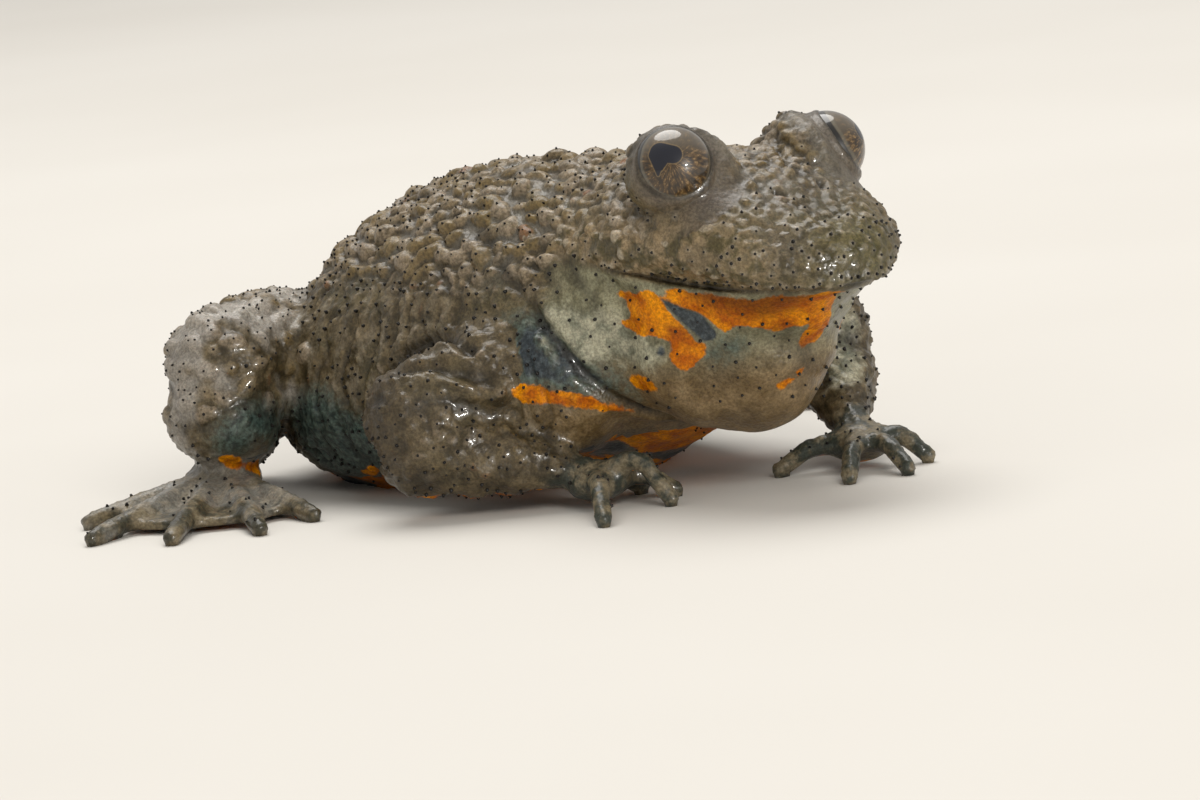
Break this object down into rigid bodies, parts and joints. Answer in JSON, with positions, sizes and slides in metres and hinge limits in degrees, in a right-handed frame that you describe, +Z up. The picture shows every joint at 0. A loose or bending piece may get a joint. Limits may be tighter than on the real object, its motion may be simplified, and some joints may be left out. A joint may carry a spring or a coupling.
{
  "type": "fire-bellied toad",
  "caption": "Still life-size model of a small warty brown toad, crouched with its head up, arms folded under it, webbed feet turned out, orange and blue-grey below.",
  "frame": {"origin": "on the floor, under the middle of the toad's bounding box", "axes": "+Z up, -Y the way the snout points, +X the toad's left"},
  "size_m": [0.0582, 0.05, 0.0224],
  "materials": {
    "back_skin": "wet, warty, taupe brown with black horny points; blue-grey and orange on the lower flanks and belly",
    "head_skin": "wet, fine warts, taupe brown above; orange and blue-grey blotches on the throat",
    "limb_skin": "wet, taupe brown with black points and blue-grey patches",
    "hand_and_foot_skin": "wet, dark grey-green with tan tips",
    "eye": "glossy, gold-brown speckled iris with a dark drop-shaped pupil"
  },
  "bodies": {
    "root": {"head": "head_skin", "torso": "back_skin", "eye_right": "eye", "upper_arm_right": "limb_skin", "forearm_right": "limb_skin", "hand_right": "hand_and_foot_skin", "thigh_right": "limb_skin", "shank_right": "limb_skin", "tarsus_right": "limb_skin", "foot_right": "hand_and_foot_skin", "eye_left": "eye", "upper_arm_left": "limb_skin", "forearm_left": "limb_skin", "hand_left": "hand_and_foot_skin", "thigh_left": "limb_skin", "shank_left": "limb_skin", "tarsus_left": "limb_skin", "foot_left": "hand_and_foot_skin"}
  },
  "joints": []
}
